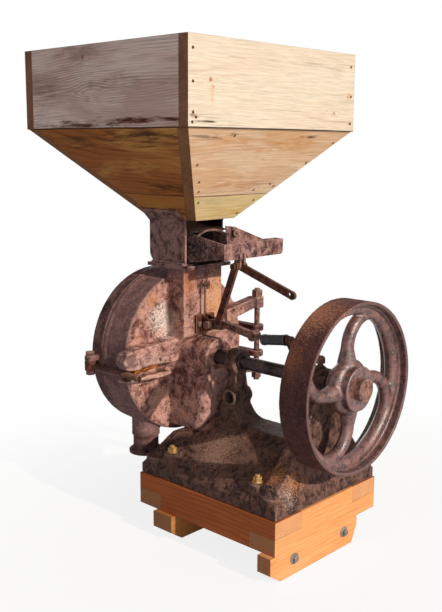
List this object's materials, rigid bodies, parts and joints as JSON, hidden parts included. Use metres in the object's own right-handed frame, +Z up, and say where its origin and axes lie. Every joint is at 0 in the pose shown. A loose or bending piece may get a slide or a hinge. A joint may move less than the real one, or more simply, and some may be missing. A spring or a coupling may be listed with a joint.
{
  "type": "grain mill",
  "caption": "Belt-driven plate mill for grain: wooden hopper, shaken feed pan, cast drum with hinged back cover, flat-belt pulley and cast bed on a wooden frame.",
  "frame": {"origin": "on the floor under the middle of the front foot", "axes": "+X along the shaft towards the pulley, +Y to the cover hinge side, +Z up"},
  "size_m": [0.7545, 0.53, 1.066],
  "materials": {
    "frame_wood": "sawn orange pine with darker shaded faces, oiled",
    "box_wood": "bare weathered pine boards with open grain and rusty nail heads",
    "funnel_wood": "bare pine boards, yellower and stained near the mouth",
    "cast_brown": "dark brown rusted casting, dull with orange patches",
    "cast_pink": "pinkish brown rusted casting with pale speckle",
    "wrought": "dark glossy brown rust on wrought bars and plates",
    "fasteners": "rusty bolts, pins and nuts",
    "plates": "chilled grinding iron, worn brighter on the faces",
    "brass": "dull yellow metal, tarnished in the corners",
    "grip": "black ribbed rubber, matt"
  },
  "bodies": {
    "mill": {"rail_near": "frame_wood", "rail_far": "frame_wood", "front_bearer": "frame_wood", "rear_cross_rail": "frame_wood", "rear_skid": "frame_wood", "coach_bolts": "fasteners", "bed_casting": "cast_brown", "hold_down_studs": "brass", "hold_down_nuts": "brass", "inner_bearing_bush": "brass", "oil_cup": "wrought", "front_casing": "cast_pink", "casing_bolts": "fasteners", "fixed_plate": "plates", "plate_screws": "fasteners", "hinge_pin": "cast_pink", "hinge_nuts": "fasteners", "discharge_spout": "wrought", "throat_flange": "wrought", "throat_plate_near": "wrought", "throat_plate_far": "wrought", "throat_chute": "wrought", "throat_bolts": "fasteners", "rocker_bracket": "wrought", "rocker_pin": "fasteners", "bracket_bolts": "fasteners", "box_board_front": "box_wood", "box_board_rear": "box_wood", "box_board_near": "box_wood", "box_board_far": "box_wood", "funnel_front": "funnel_wood", "funnel_rear": "funnel_wood", "funnel_near": "funnel_wood", "funnel_far": "funnel_wood", "pan_hinge_rod": "fasteners"},
    "thrust": {"thrust_ring": "brass"},
    "adjuster": {"adjusting_sleeve": "fasteners", "adjusting_lever": "wrought", "adjusting_grip": "grip"},
    "shaft": {"main_shaft": "wrought", "pulley": "cast_brown", "pulley_key": "fasteners", "shaft_end_disc": "cast_pink", "shaft_collar": "wrought", "feed_screw": "wrought", "runner_plate": "plates", "runner_nut": "fasteners"},
    "cover": {"rear_cover": "cast_brown", "latch_pin": "cast_pink"},
    "latch": {"swing_bolt": "wrought"},
    "rocker": {"rocker_arm": "wrought"},
    "link": {"rocker_link": "wrought"},
    "pan": {"feed_pan": "wrought", "gate_plate": "wrought", "gate_bolts": "fasteners", "pan_strap": "wrought", "lever_pin": "fasteners"},
    "lever": {"feed_lever": "wrought"}
  },
  "joints": [
    {"name": "plate_setting_slide", "type": "slide", "parent": "mill", "child": "thrust", "axis": [1, 0, 0], "range_m": [0, 0.002]},
    {"name": "adjusting_lever_turn", "type": "hinge", "parent": "thrust", "child": "adjuster", "pos_m": [-0.056, 0, 0.383], "axis": [1, 0, 0], "range_deg": [-90, 0]},
    {"name": "shaft_spin", "type": "hinge", "parent": "thrust", "child": "shaft", "pos_m": [-0.183, 0, 0.383], "axis": [1, 0, 0], "continuous": true},
    {"name": "cover_hinge", "type": "hinge", "parent": "mill", "child": "cover", "pos_m": [-0.383, 0.225, 0.383], "axis": [0, 0, -1], "range_deg": [0, 110]},
    {"name": "latch_swing", "type": "hinge", "parent": "cover", "child": "latch", "pos_m": [-0.516, -0.207, 0.362], "axis": [0, 0, -1], "range_deg": [0, 100]},
    {"name": "rocker_turn", "type": "hinge", "parent": "mill", "child": "rocker", "pos_m": [-0.326, 0, 0.457], "axis": [0, 1, 0], "range_deg": [-6, 6]},
    {"name": "link_turn", "type": "hinge", "parent": "rocker", "child": "link", "pos_m": [-0.295, 0, 0.468], "axis": [0, 1, 0], "range_deg": [-7.2, 7.2]},
    {"name": "pan_shake", "type": "hinge", "parent": "mill", "child": "pan", "pos_m": [-0.36, 0, 0.616], "axis": [0, 1, 0], "range_deg": [-1.5, 1.5]},
    {"name": "feed_lever_turn", "type": "hinge", "parent": "pan", "child": "lever", "pos_m": [-0.244, 0, 0.59994], "axis": [0, 1, 0], "range_deg": [-20, 25]}
  ],
  "couplings": [
    {"joint": "adjusting_lever_turn", "follows": "plate_setting_slide", "rad_per_m": -785.4},
    {"joint": "link_turn", "follows": "rocker_turn", "ratio": -1.11},
    {"joint": "pan_shake", "follows": "rocker_turn", "ratio": 0.21887}
  ]
}
